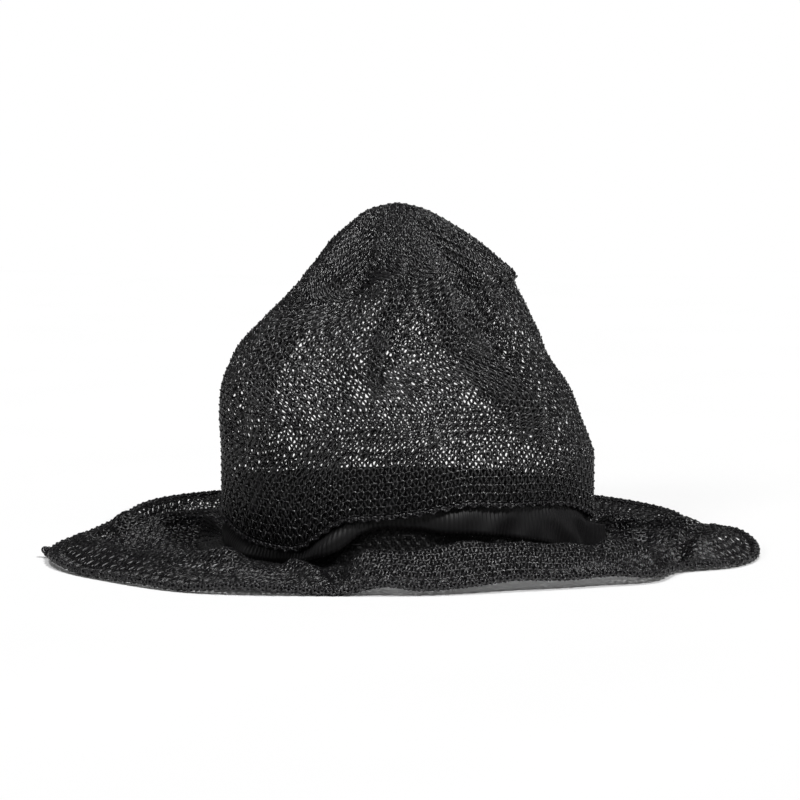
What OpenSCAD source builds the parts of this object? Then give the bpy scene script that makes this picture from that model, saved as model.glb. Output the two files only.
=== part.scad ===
// Open-knit veil hat: a tall slouching crown, a ribbon band and a wide floppy brim.
// Millimetres, +Z up. The origin is the centre of the head opening, on the plane that the
// brim lies on. The front faces -Y, and angles run from +X (the right side) towards +Y (the back).

/* [Head ring] */
// Width of the ring inside the ribbon, from left to right
head_w = 185.6; // [170:0.2:205]
// Depth of the ring inside the ribbon, from front to back
head_d = 182; // [168:0.2:205]

/* [Cloth] */
// Thickness of the knitted cloth
knit_t = 2; // [1.4:0.1:3]
// Clearance between a sewn piece and its seat
seat_gap = 0.3; // [0.2:0.05:0.6]
// Open share of a cell's width and height where the cloth is see-through
open_share = 0.62; // [0.3:0.02:0.76]

/* [Crown] */
// Height of the crown's peak above the table
crown_h = 177; // [150:1:220]
// Depth of the crown's main folds
fold_d = 10; // [0:0.5:12]
// How far the crown leans towards its left shoulder
lean_d = 8.4; // [0:0.2:14]
// Diameter of the chain round along the crown's lower edge
hem_d = 2.6; // [1.6:0.1:4]
// Diameter of the round that closes the crown at its peak
tip_d = 12; // [8:0.5:18]

/* [Ribbon] */
// Height of the ribbon from edge to edge
ribbon_h = 25; // [20:1:32]
// Thickness of the ribbon
ribbon_t = 0.6; // [0.4:0.1:1]
// Length of the ribbon's outer end that laps over its start
ribbon_lap = 46; // [30:1:60]
// How far the tip of the lapped end stands off the ring
ribbon_flare = 10; // [2:0.5:12]

/* [Brim] */
// Mean width of the brim, from the ring to its edge
brim_w = 78; // [60:1:110]
// Height of the roll along the front of the brim
roll_h = 21; // [8:0.5:24]
// Height of the brim's neck inside the ribbon
neck_h = 7; // [4:0.5:12]
// Diameter of the rolled round along the brim's edge
edge_d = 3.4; // [2.4:0.1:5]
// Diameter of the finishing knot at the brim's left tip
knot_d = 5; // [3:0.25:7]

/* [Sewing] */
// Thickness of the sewing thread
thread_d = 0.6; // [0.4:0.1:0.8]
// Length of one blind stitch
stitch_l = 6; // [3:0.5:9]
// Number of blind stitches round the ring
stitch_n = 22; // [11:11:22]
// Length of one tacking stitch in the ribbon's lap
tack_l = 5; // [3:0.5:8]

/* [Hidden] */

// Facets round the crown, the brim, the ribbon and its lap, and sides of an edge round. An edge round has
// the facets of the cloth that it finishes, so the two stay as far apart all the way.
crown_n = 44;
brim_n = 56;
ribbon_n = 88;
lap_n = 12;
round_sides = 8;

// Offsets from the ring: the crown stands outside the ribbon, the brim's neck inside it
crown_in = ribbon_t + max(ribbon_t, thread_d) + 2 * seat_gap;
crown_out = crown_in + knit_t;
neck_out = -(thread_d + 2 * seat_gap);
neck_mid = neck_out - knit_t / 2;

// Where the lapped end starts, where it leaves the ring, and where it stops, in degrees
lap_stop = 347;
lap_start = lap_stop - ribbon_lap / (head_w / 2) * 180 / PI;
lap_leave = lap_stop - 9;
// Height of the lap's cut tip above the ribbon's lower edge
lap_tip_h = 10.5;
// Degrees from the start of the lap to its tacks
tack_at = 4;
// Facets of the ribbon over which the outer end climbs onto the start
climb_n = 4;

// Angle of the finishing knot at the brim's left tip
knot_at = 194;

// Depth of the cut that flattens the brim where it lies on the table, and the ring it lies on,
// as distances from the head ring
rest_cut = 0.5;
flat_from = 8;
flat_to = 14;

// Knots are [angle, height]. Height of the ribbon's lower edge above the table
ribbon_low = [[0, 3.5], [45, 4], [90, 4], [135, 5], [180, 8], [206, 11], [226, 8.5], [242, 8],
  [256, 10.5], [267, 13.5], [278, 19], [292, 18.5], [308, 14], [324, 8.5], [346, 3.5]];
// Height of the lowest point of the crown's chain round
hem_low = [[0, 14.5], [45, 17], [90, 18], [135, 17], [180, 16], [196, 15.5], [211, 10.5], [226, 8.3],
  [236, 9], [243, 16], [251, 24], [262, 26], [274, 28.5], [287, 32], [301, 30.5], [317, 29.5], [328, 26.5],
  [341, 20.5], [352, 15.5]];
// Brim width more or less than its mean
brim_more = [[0, 2], [12, -13], [27, -7], [46, -5], [90, -5], [129, -1], [145, 3], [163, -8], [178, -4],
  [192, 13], [205, 19], [220, 13], [236, 8], [256, -10], [275, -15], [290, -17], [304, -11], [314, -3],
  [325, -9], [335, 8], [347, 11]];
// Height of the middle of the brim's edge round above the table
edge_rise = [[0, 6.5], [13, 4.5], [30, 6], [60, 7], [95, 5], [130, 9], [160, 6.5], [180, 4.8], [195, 3.5],
  [205, 4], [212, 2.5], [226, 3], [234, 2.5], [242, 4.5], [249, 3.5], [258, 2], [266, 6], [272, 4],
  [280, 5], [289, 7], [298, 6], [307, 6.5], [316, 4], [325, 3.5], [334, 3], [345, 2.5]];
// Height of the roll between the crown and the brim's edge, as a share of roll_h
roll_share = [[0, 0.33], [25, 0.29], [60, 0.24], [100, 0.24], [140, 0.3], [149, 0.34], [162, 0.43],
  [175, 0.43], [187, 0.21], [199, 0.25], [211, 0.25], [222, 0.37], [231, 0.45], [240, 0.47], [250, 0.42],
  [257, 0.6], [264, 0.83], [272, 0.91], [284, 1], [298, 0.92], [313, 0.66], [322, 0.47], [338, 0.4],
  [350, 0.38]];
// Distance of the roll's crest from the ring, as a share of brim_w
roll_place = [[0, 0.69], [10, 0.56], [25, 0.49], [60, 0.44], [100, 0.46], [140, 0.59], [162, 0.62],
  [175, 0.72], [187, 0.87], [199, 0.77], [211, 0.69], [222, 0.64], [231, 0.6], [257, 0.59], [285, 0.56],
  [298, 0.56], [313, 0.59], [322, 0.64], [331, 0.67], [338, 0.73], [350, 0.77]];
// Waves along the brim's edge: [height, number round the brim, phase]
edge_waves = [[1.6, 9, 40], [0.8, 14, 0]];

// The crown from the top of the band to the peak: [height share, lean share, width share]
crown_form = [[0, 0, 1], [0.135, -0.42, 0.97], [0.27, -0.8, 0.92], [0.395, -0.95, 0.835],
  [0.53, -0.65, 0.718], [0.66, -0.2, 0.58], [0.725, 0.1, 0.53], [0.785, 0.05, 0.455],
  [0.85, -0.2, 0.376], [0.91, -0.4, 0.28], [0.97, -0.65, 0.165]];
// Folds that run down from the peak: [angle at the band, angle gained by the peak, width, depth share]
folds = [[231, -14, 12, 1.1], [214, -16, 10, -0.8], [249, -6, 10, -0.3], [266, 0, 9, 0.8],
  [290, -20, 10, -0.4], [321, -50, 11, 1.1], [334, -42, 10, -1], [60, 0, 18, 0.6], [85, 0, 14, -0.4],
  [115, 0, 18, 0.7], [160, 0, 16, 0.15]];
// Rows of net cells in which every second cell is open: above the band on the crown, and on the roll
crown_open = [2 : 6];
brim_open = [5 : 6];

// Height at which the crown starts to draw in: just above the ribbon's highest edge
ribbon_peak = max([for (k = ribbon_low) k[1]]);
band_z = ribbon_peak + ribbon_h + 5;

// Slope of a curve at the middle one of three knots
function slope(p, q, r) = (r[1] - p[1]) / (r[0] - p[0]);
// Smooth curve from knot q to knot r, with p and s as their outer neighbours
function blend(p, q, r, s, x) =
  let (w = r[0] - q[0], t = (x - q[0]) / w, m = slope(p, q, r) * w, n = slope(q, r, s) * w)
  q[1] * (1 + 2 * t) * (1 - t) ^ 2 + m * t * (1 - t) ^ 2 + r[1] * t * t * (3 - 2 * t) - n * t * t * (1 - t);
// Knot i of a closed list, counted on round the circle
function knot(list, i) =
  let (turn = floor(i / len(list)), k = list[i - turn * len(list)]) [k[0] + 360 * turn, k[1]];
// Value of a closed list of knots at an angle
function round_value(list, angle) =
  let (a = angle - 360 * floor(angle / 360), i = len([for (k = list) if (k[0] <= a) 1]) - 1)
  blend(knot(list, i - 1), knot(list, i), knot(list, i + 1), knot(list, i + 2), a);

// A point at an angle, off the ring by a distance, at a height
function ring(a, off, z) = [(head_w / 2 + off) * cos(a), (head_d / 2 + off) * sin(a), z];
function low(a) = round_value(ribbon_low, a);
function hem(a) = round_value(hem_low, a);
function crown_foot(a) = hem(a) + hem_d + seat_gap;
function cloth_end(a) = reach(a) - edge_d - seat_gap - knit_t / 4;
function reach(a) = brim_w + round_value(brim_more, a);
function edge_z(a) = max(edge_d / 2, round_value(edge_rise, a));
function turn_gap(a, b) = let (d = abs(a - b) % 360) min(d, 360 - d);
function ease(t) = let (c = max(0, min(1, t))) c * c * (3 - 2 * c);

// How far a fold stands out of the crown at an angle and a height share
function fold(a, s) = fold_d * ease(s / 0.3) * (1 - s ^ 4) * sum_of(
  [for (f = folds) f[3] * exp(-(turn_gap(a, f[0] + f[1] * s) / f[2]) ^ 2)]);
function sum_of(list) = list * [for (x = list) 1];

// Crown rows, outside face: two round the band, then one for each station up to the peak
function crown_band(share) = [for (i = [0 : crown_n - 1]) let (a = 360 * i / crown_n, foot = crown_foot(a))
  ring(a, crown_out, foot + (band_z - foot) * share)];
function crown_row(f) = [for (i = [0 : crown_n - 1]) let (a = 360 * i / crown_n, bulge = fold(a, f[0]))
  [lean_d * f[1] + ((head_w / 2 + crown_out) * f[2] + bulge) * cos(a),
   ((head_d / 2 + crown_out) * f[2] + bulge) * sin(a), band_z + (crown_h - band_z) * f[0]]];
tip_form = [0.994, crown_form[len(crown_form) - 1][1], (tip_d / 2) / (head_w / 2 + crown_out)];
crown_face = concat([crown_band(0), crown_band(0.5)], [for (f = crown_form) crown_row(f)],
  [crown_row(tip_form)]);

// Brim rows, middle of the cloth: neck, turn, flat rest, roll and wavy outer slope, as [offset, height]
function wave(a) = sum_of([for (w = edge_waves) w[0] * sin(w[1] * a + w[2])]);
function brim_section(a) = let (z = low(a), r = roll_h * round_value(roll_share, a), e = edge_z(a),
    out = cloth_end(a), top = brim_w * round_value(roll_place, a), run = out - top,
    ripple = wave(a) * run / brim_w, rest_z = knit_t / 2 - rest_cut)
  [[neck_mid, z + neck_h], [neck_mid, z / 2 + 1.2], [neck_mid + 1.5, 1.5], [flat_from, rest_z],
   [flat_to, rest_z], [flat_to + 0.55 * (top - flat_to), 0.58 * r + 0.4], [top, r],
   [top + 0.4 * run, 0.84 * r + 0.16 * e + ripple], [top + 0.7 * run, 0.52 * r + 0.48 * e + ripple],
   [top + 0.9 * run, 0.2 * r + 0.8 * e - ripple], [out, e]];
brim_mid = let (sections = [for (i = [0 : brim_n - 1]) brim_section(360 * i / brim_n)])
  [for (j = [0 : len(sections[0]) - 1]) [for (i = [0 : brim_n - 1])
    ring(360 * i / brim_n, sections[i][j][0], sections[i][j][1])]];

// Unit normal of a net of rows at row j, column i, on the side that is to the right of the way up
function unit(v) = v / norm(v);
function normal(net, j, i) = let (n = len(net[0]), last = len(net) - 1,
    along = net[j][(i + 1) % n] - net[j][(i + n - 1) % n],
    up = net[min(j + 1, last)][i] - net[max(j - 1, 0)][i])
  unit(cross(along, up));
function offset_net(net, d) = [for (j = [0 : len(net) - 1]) [for (i = [0 : len(net[0]) - 1])
  net[j][i] + d * normal(net, j, i)]];
// The same net with nothing under the table
function flat_net(net) = [for (row = net) [for (p = row) [p[0], p[1], max(0, p[2])]]];

// Triangles of one four-sided patch
function patch(a, b, c, d) = [[a, b, c], [a, c, d]];
// Point of a net in the cell above row j and past column i, at shares u up and v along
function in_cell(net, j, i, u, v) = let (k = (i + 1) % len(net[0]))
  (1 - u) * ((1 - v) * net[j][i] + v * net[j][k]) + u * ((1 - v) * net[j + 1][i] + v * net[j + 1][k]);
// Closed ring of cloth between an outside and an inside net. Every second cell of the open rows has a
// window, set over by one cell from row to row.
module cloth(outside, inside, open_rows) {
  n = len(outside[0]);
  rows = len(outside);
  size = n * rows;
  low = (1 - open_share) / 2;
  high = 1 - low;
  spots = [[low, low], [high, low], [high, high], [low, high]];
  windows = [for (j = open_rows, i = [j % 2 : 2 : n - 1]) [j, i]];
  shut = [for (j = [0 : rows - 2], i = [0 : n - 1]) if (!is_open(j, i)) [j, i]];
  function is_open(j, i) = (i + j) % 2 == 0 && len([for (r = open_rows) if (r == j) r]) > 0;
  function at(side, j, i) = side * size + j * n + i % n;
  function corner(side, w, c) = at(side, w[0] + (c == 1 || c == 2 ? 1 : 0), w[1] + (c > 1 ? 1 : 0));
  function pane(side, k, c) = 2 * size + 8 * k + 4 * side + c;
  polyhedron(
    points = concat([for (row = outside) each row], [for (row = inside) each row],
      [for (w = windows, net = [outside, inside], p = spots) in_cell(net, w[0], w[1], p[0], p[1])]),
    faces = concat(
      [for (w = shut) each patch(corner(0, w, 0), corner(0, w, 1), corner(0, w, 2), corner(0, w, 3))],
      [for (w = shut) each patch(corner(1, w, 3), corner(1, w, 2), corner(1, w, 1), corner(1, w, 0))],
      [for (k = [0 : len(windows) - 1], c = [0 : 3]) let (w = windows[k], d = (c + 1) % 4) each concat(
        patch(corner(0, w, c), corner(0, w, d), pane(0, k, d), pane(0, k, c)),
        patch(corner(1, w, d), corner(1, w, c), pane(1, k, c), pane(1, k, d)),
        patch(pane(0, k, c), pane(0, k, d), pane(1, k, d), pane(1, k, c)))],
      [for (i = [0 : n - 1]) each patch(at(0, 0, i), at(0, 0, i + 1), at(1, 0, i + 1), at(1, 0, i))],
      [for (i = [0 : n - 1]) each patch(at(0, rows - 1, i), at(1, rows - 1, i),
        at(1, rows - 1, i + 1), at(0, rows - 1, i + 1))]));
}

// Closed round of cord whose middle runs through the listed points
module closed_round(path, d) {
  n = len(path);
  s = round_sides;
  rings = [for (i = [0 : n - 1]) let (a = atan2(path[i][1], path[i][0])) [for (k = [0 : s - 1])
    path[i] + d / 2 * [cos(360 * k / s) * cos(a), cos(360 * k / s) * sin(a), sin(360 * k / s)]]];
  polyhedron(
    points = [for (row = flat_net(rings)) each row],
    faces = [for (i = [0 : n - 1], k = [0 : s - 1]) each
      patch(i * s + k, i * s + (k + 1) % s, ((i + 1) % n) * s + (k + 1) % s, ((i + 1) % n) * s + k)]);
}

// One straight stitch laid along the ring at an angle, an offset and a height
module stitch(a, off, z, length) {
  translate(ring(a, off, z))
    rotate([90, 0, atan2((head_d / 2) * cos(a), -(head_w / 2) * sin(a)) + 90])
      cylinder(d = thread_d, h = length, center = true, $fn = 16);
}

module crown() {
  color("#1f1e20") cloth(crown_face, offset_net(crown_face, -knit_t), crown_open);
}

// The drawn-in last round: a low button that fills the hole at the peak
module crown_tip() {
  top = crown_face[len(crown_face) - 1];
  foot = top[0][2] - knit_t;
  r = tip_d / 2 - knit_t / 2 - seat_gap;
  color("#1b1a1c") translate([lean_d * tip_form[1], 0, foot])
    rotate_extrude($fn = 48) polygon([[0, 0], [r, 0], [r, knit_t], [r * 0.6, (crown_h - foot) * 0.9],
      [0, crown_h - foot]]);
}

module crown_hem() {
  color("#232224") closed_round([for (i = [0 : crown_n - 1]) let (a = 360 * i / crown_n)
    ring(a, crown_in + hem_d / 2, hem(a) + hem_d / 2)], hem_d);
}

// One strip that runs once round the head and laps over its own start; its cut end stands off
module ribbon() {
  step = 360 / ribbon_n;
  turns = concat([for (k = [0 : ribbon_n]) lap_start - 360 + k * step],
    [for (k = [1 : lap_n]) lap_start + (lap_stop - lap_start) * k / lap_n]);
  sections = [for (k = [0 : len(turns) - 1]) let (a = turns[k], past = max(0, k - ribbon_n) / lap_n,
      climb = ease((k - ribbon_n + climb_n) / climb_n) * (ribbon_t + seat_gap),
      off = climb + ribbon_flare * ease((a - lap_leave) / (lap_stop - lap_leave)),
      top = low(a) + ribbon_h - (ribbon_h - lap_tip_h) * ease(past))
    [ring(a, off, low(a)), ring(a, off + ribbon_t, low(a)),
     ring(a, off + ribbon_t, top), ring(a, off, top)]];
  last = 4 * (len(sections) - 1);
  color("#17161a") polyhedron(
    points = [for (s = sections) each s],
    faces = concat(patch(0, 1, 2, 3), patch(last + 3, last + 2, last + 1, last),
      [for (k = [0 : len(sections) - 2], m = [0 : 3]) each patch(4 * k + m, 4 * k + 4 + m,
        4 * k + 4 + (m + 1) % 4, 4 * k + (m + 1) % 4)]));
}

// Tacks that hold the lap, on the inside face of the ribbon above the brim's neck
module ribbon_tacks() {
  a = lap_start + tack_at;
  color("#0f0f10") for (k = [1 : 3])
    stitch(a, -seat_gap - thread_d / 2, low(a) + neck_h + (ribbon_h - neck_h) * k / 4, tack_l);
}

module brim() {
  color("#1f1e20") cloth(flat_net(offset_net(brim_mid, knit_t / 2)), offset_net(brim_mid, -knit_t / 2),
    brim_open);
}

module brim_edge() {
  color("#232224") closed_round([for (i = [0 : brim_n - 1]) let (a = 360 * i / brim_n)
    ring(a, reach(a) - edge_d / 2, edge_z(a))], edge_d);
}

// Knot that finishes the edge round at the brim's left tip
module edge_knot() {
  color("#232224") translate(ring(knot_at, reach(knot_at) + knot_d / 2 + seat_gap / 2, edge_z(knot_at)))
    sphere(d = knot_d, $fn = 32);
}

// Blind stitches between the ribbon and the crown's lower edge, left out where the lap lies
module crown_stitches() {
  color("#0f0f10") for (k = [0 : stitch_n - 1]) {
    a = 360 * k / stitch_n;
    clear = stitch_l / (head_w / 2) * 180 / PI + 360 / ribbon_n * climb_n;
    if (a < lap_start - clear || a > lap_stop + clear / 2)
      stitch(a, ribbon_t + seat_gap + thread_d / 2, crown_foot(a) + thread_d + 1.5, stitch_l);
  }
}

// Blind stitches between the brim's neck and the ribbon
module brim_stitches() {
  color("#0f0f10") for (k = [0 : stitch_n - 1]) {
    a = 360 * (k + 0.5) / stitch_n;
    stitch(a, -seat_gap - thread_d / 2, low(a) + neck_h / 2, stitch_l);
  }
}

crown();
crown_tip();
crown_hem();
ribbon();
ribbon_tacks();
brim();
brim_edge();
edge_knot();
crown_stitches();
brim_stitches();
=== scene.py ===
# %% [markdown]
# # An open-knit veil hat
# This lesson dresses a soft black hat: a tall see-through crown knitted in moss stitch, a ribbed ribbon
# sewn inside its lower edge, and a wide floppy brim that lies on a table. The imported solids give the
# frame. Every soft solid is hidden, and a piece made of strands or ribbon stands in its place.

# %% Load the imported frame
import math

import bpy
import numpy as np
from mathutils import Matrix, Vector


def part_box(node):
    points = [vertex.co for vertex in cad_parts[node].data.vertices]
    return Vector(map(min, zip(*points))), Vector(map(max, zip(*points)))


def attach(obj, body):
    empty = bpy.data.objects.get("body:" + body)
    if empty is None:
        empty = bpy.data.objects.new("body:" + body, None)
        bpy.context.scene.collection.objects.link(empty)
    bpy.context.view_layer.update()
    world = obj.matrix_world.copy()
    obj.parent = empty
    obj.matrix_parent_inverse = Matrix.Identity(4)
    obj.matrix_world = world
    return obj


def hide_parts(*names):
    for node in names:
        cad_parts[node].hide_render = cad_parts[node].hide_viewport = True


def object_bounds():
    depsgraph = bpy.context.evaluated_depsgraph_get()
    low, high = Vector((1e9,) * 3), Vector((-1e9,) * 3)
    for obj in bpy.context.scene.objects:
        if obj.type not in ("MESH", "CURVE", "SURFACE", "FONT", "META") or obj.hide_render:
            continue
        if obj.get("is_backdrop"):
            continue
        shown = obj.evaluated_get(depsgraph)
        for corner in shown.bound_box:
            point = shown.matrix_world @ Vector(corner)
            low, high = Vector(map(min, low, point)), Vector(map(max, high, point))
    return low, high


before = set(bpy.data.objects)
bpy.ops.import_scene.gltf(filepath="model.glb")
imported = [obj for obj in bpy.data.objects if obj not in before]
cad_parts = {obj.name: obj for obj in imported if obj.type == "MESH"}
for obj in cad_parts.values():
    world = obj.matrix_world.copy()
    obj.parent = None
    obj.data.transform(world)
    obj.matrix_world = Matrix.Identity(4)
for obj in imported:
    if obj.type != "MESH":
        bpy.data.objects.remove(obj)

cad_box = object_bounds()
MM = 0.001
print("solids:", sorted(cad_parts))

# %% [markdown]
# ## The sizes that shape the cloth
# The solids were lofted through a few control knots, each an angle and a height or width in
# millimetres. The yarn has to follow the same surfaces, so the knots are repeated here. An angle of
# 0 is the right side, 90 the back, 180 the left and 270 the front that faces the camera.

# %% Head ring and layers, in millimetres
HEAD_W, HEAD_D = 185.6, 182.0
KNIT_T, SEAT_GAP, THREAD_D = 2.0, 0.3, 0.6
CROWN_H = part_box("crown_tip")[1][2] / MM
RIBBON_H, RIBBON_T = 25.0, 0.6
# The crown lies outside the ribbon and its lap, and the brim's neck inside it, with room for a thread
CROWN_IN = RIBBON_T + max(RIBBON_T, THREAD_D) + 2 * SEAT_GAP
CROWN_MID = CROWN_IN + KNIT_T / 2
NECK_MID = -(THREAD_D + 2 * SEAT_GAP) - KNIT_T / 2
print("crown peak at %.1f mm, head ring %.1f by %.1f mm" % (CROWN_H, HEAD_W, HEAD_D))

# %% [markdown]
# ## Curves through knots
# A boat builder bends a thin strip through a few points and draws along it. These helpers do the same:
# one curve goes round the hat and joins up with itself, the others run along the cloth from its first
# station to its last. Blender's own curves could do it too, but arrays give thousands of points at once.

# %% Curve and ring helpers
# Keeps a place just inside the last stretch of a curve
STOP_SHORT = 1.000001


def round_value(knots, angle):
    """Smooth closed curve through (angle, value) knots, read at an array of angles in degrees."""
    at = np.array([k[0] for k in knots], float)
    value = np.array([k[1] for k in knots], float)
    at = np.concatenate([at[-2:] - 360, at, at[:3] + 360])
    value = np.concatenate([value[-2:], value, value[:3]])
    a = np.mod(angle, 360.0)
    i = np.searchsorted(at, a, side="right") - 1
    w = at[i + 1] - at[i]
    t = (a - at[i]) / w
    m = (value[i + 1] - value[i - 1]) / (at[i + 1] - at[i - 1]) * w
    n = (value[i + 2] - value[i]) / (at[i + 2] - at[i]) * w
    return (value[i] * (1 + 2 * t) * (1 - t) ** 2 + m * t * (1 - t) ** 2
            + value[i + 1] * t * t * (3 - 2 * t) - n * t * t * (1 - t))


def bend(a, b, c, d, t):
    """Smooth stretch from b at t = 0 to c at t = 1, between the neighbours a and d."""
    return 0.5 * (2 * b + (c - a) * t + (2 * a - 5 * b + 4 * c - d) * t * t
                  + (3 * b - a - 3 * c + d) * t ** 3)


def station_value(values, p):
    """Smooth open curve through values at stations 0, 1, 2 and on, read at an array of places."""
    v = np.asarray(values, float)
    v = np.concatenate([[2 * v[0] - v[1]], v, [2 * v[-1] - v[-2]]])
    q = np.clip(p, 0, len(values) - STOP_SHORT)
    i = np.floor(q).astype(int)
    return bend(v[i], v[i + 1], v[i + 2], v[i + 3], q - i)


def station_rows(rows, p):
    """station_value for rows that change with the angle: each row has the shape of p."""
    v = np.stack(rows)
    v = np.concatenate([2 * v[:1] - v[1:2], v, 2 * v[-1:] - v[-2:-1]])
    q = np.clip(p, 0, len(rows) - STOP_SHORT)
    i = np.floor(q).astype(int)
    return bend(*(np.take_along_axis(v, (i + k)[None], 0)[0] for k in range(4)), q - i)


def ring(angle, off, z):
    """Points at an angle, off the head ring by a distance, at a height, in millimetres."""
    a = np.radians(angle)
    x, y = (HEAD_W / 2 + off) * np.cos(a), (HEAD_D / 2 + off) * np.sin(a)
    return np.stack(np.broadcast_arrays(x, y, z), -1)


def ease(t):
    """0 below 0, 1 above 1, and a soft step between."""
    c = np.clip(t, 0, 1)
    return c * c * (3 - 2 * c)


def turn_gap(angle, at):
    """How many degrees an angle lies past another, from -180 to 180."""
    return np.mod(angle - at + 180, 360) - 180


print("head ring, right and back:", ring(np.array([0.0, 90.0]), 0.0, 0.0).round(1).tolist())

# %% [markdown]
# ## The crown's cloth
# The crown hangs from its peak in soft folds, and some of them double back under themselves. A cloth
# simulation could drape it too, with folds where they happen to fall. These folds have to lie where the
# photograph has them, so the drape is drawn: a formula takes an angle and a place along the cloth,
# from hem to peak, and gives a point in the middle of the cloth.

# %% Crown folds
# Folds: angle at the band, angle gained by the peak, width in degrees, share of the depth. They grow out of
# the smooth band over a share of the height.
FOLD_D, FOLD_GROW = 10.0, 0.3
FOLDS = [(231, -14, 12, 1.1), (214, -16, 10, -0.8), (249, -6, 10, -0.3), (266, 0, 9, 0.8),
         (290, -20, 10, -0.4), (321, -50, 11, 1.1), (334, -42, 10, -1), (60, 0, 18, 0.6),
         (85, 0, 14, -0.4), (115, 0, 18, 0.7), (160, 0, 16, 0.15)]
# Pleats on those folds, where the cloth doubles back: knots of height share and angle, width in
# millimetres, how far it doubles, the side its edge hangs over (1 right, -1 left), and the height shares
# where it starts, where it is full and where it ends
PLEATS = [(((0, 236), (0.3, 226), (0.48, 224), (0.67, 218), (0.9, 198)), 9.5, 3.1, -1, 0.1, 0.36, 0.84),
          (((0, 264), (1, 266)), 8, 2.9, 1, 0.05, 0.48, 1),
          (((0, 322), (1, 270)), 13, 3.1, 1, -0.02, 0.28, 1),
          (((0, 50), (1, 62)), 11, 2.8, -1, 0.02, 0.45, 1),
          (((0, 143), (1, 128)), 11, 2.8, 1, 0.02, 0.45, 1)]
# How far a pleat stands out for each millimetre that it turns, the height share over which it ends, and
# the crown radius below which it narrows, with the least share of its width
PLEAT_STAND, PLEAT_FADE, PLEAT_RADIUS, PLEAT_LEAST = 1.25, 0.35, 70.0, 0.2
# Gathers under the peak: waves round the ring, phase in degrees, height in millimetres
GATHERS = [(7, 60, 3.0), (11, 200, 2.6), (16, 20, 1.8)]
GATHER_FROM, GATHER_GROW = 0.5, 0.25
# Small creases all over: waves round the ring, turns up the crown, phase in degrees, height
CREASES = [(13, 2.1, 0, 0.7), (21, -2.7, 50, 0.5), (9, 3.4, 120, 0.6)]
CREASE_GROW = 0.15
# The flap at the right shoulder: angle, width, height share of its lip, how far it stands out, and the
# height shares of its body, of its fading top and of its sharp lip
FLAP_AT, FLAP_W, FLAP_S, FLAP_OUT = 346.0, 16.0, 0.7, 3.0
FLAP_BODY, FLAP_TOP, FLAP_LIP = 0.1, 0.08, 0.012


def crown_fold(angle, share, around):
    """How far the folds stand out of the crown and how far they slide along it, in millimetres."""
    stand, slide = 0.0 * (angle + share), 0.0 * (angle + share)
    reach = FOLD_D * ease(share / FOLD_GROW) * (1 - share ** 4)
    for at, gain, width, depth in FOLDS:
        stand = stand + reach * depth * np.exp(-(turn_gap(angle, at + gain * share) / width) ** 2)
    for line, width, doubling, way, first, full, last in PLEATS:
        at = np.interp(share, [k[0] for k in line], [k[1] for k in line])
        wide = width * np.clip(around / PLEAT_RADIUS, PLEAT_LEAST, 1)
        u = np.radians(turn_gap(angle, at)) * around / wide
        turn = wide * u * np.exp(-u * u) * ease((share - first) / (full - first))
        turn = turn * ease((last - share) / PLEAT_FADE)
        stand, slide = stand - PLEAT_STAND * way * turn, slide - doubling * turn
    fade = 1 - share ** 6
    for waves, phase, height in GATHERS:
        stand = stand + height * ease((share - GATHER_FROM) / GATHER_GROW) * fade * np.sin(
            np.radians(waves * angle + phase))
    for waves, turns, phase, height in CREASES:
        stand = stand + height * ease(share / CREASE_GROW) * fade * np.sin(
            np.radians(waves * angle + 360 * turns * share + phase))
    lip = ease((FLAP_S + FLAP_BODY - share) / FLAP_TOP) * ease((share - FLAP_S) / FLAP_LIP)
    stand = stand + FLAP_OUT * lip * np.exp(-(turn_gap(angle, FLAP_AT) / FLAP_W) ** 2)
    return stand, slide


print("crown: %d folds and %d pleats" % (len(FOLDS), len(PLEATS)))

# %% Crown surface
# Stations from the top of the band to the peak: share of the height, share of the lean, share of the width
LEAN_D = 8.4
CROWN_FORM = [(0, 0, 1), (0.135, -0.42, 0.97), (0.27, -0.8, 0.92), (0.395, -0.95, 0.835),
              (0.53, -0.65, 0.718), (0.66, -0.2, 0.58), (0.725, 0.1, 0.53), (0.785, 0.05, 0.455),
              (0.85, -0.2, 0.376), (0.91, -0.4, 0.28), (0.97, -0.65, 0.165), (0.994, -0.65, 0.062),
              (1.0, -0.65, 0.012)]
# Lower edge of the ribbon and of the crown's hem: angle, height
RIBBON_LOW = [(0, 3.5), (45, 4), (90, 4), (135, 5), (180, 8), (206, 11), (226, 8.5), (242, 8),
              (256, 10.5), (267, 13.5), (278, 19), (292, 18.5), (308, 14), (324, 8.5), (346, 3.5)]
HEM_LOW = [(0, 14.5), (45, 17), (90, 18), (135, 17), (180, 16), (196, 15.5), (211, 10.5), (226, 8.3),
           (236, 9), (243, 16), (251, 24), (262, 26), (274, 28.5), (287, 32), (301, 30.5), (317, 29.5),
           (328, 26.5), (341, 20.5), (352, 15.5)]
HEM_D, BAND_ABOVE = 2.6, 5
BAND_Z = max(z for _, z in RIBBON_LOW) + RIBBON_H + BAND_ABOVE


def ribbon_low(angle):
    return round_value(RIBBON_LOW, angle)


def hem_low(angle):
    return round_value(HEM_LOW, angle)


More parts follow.
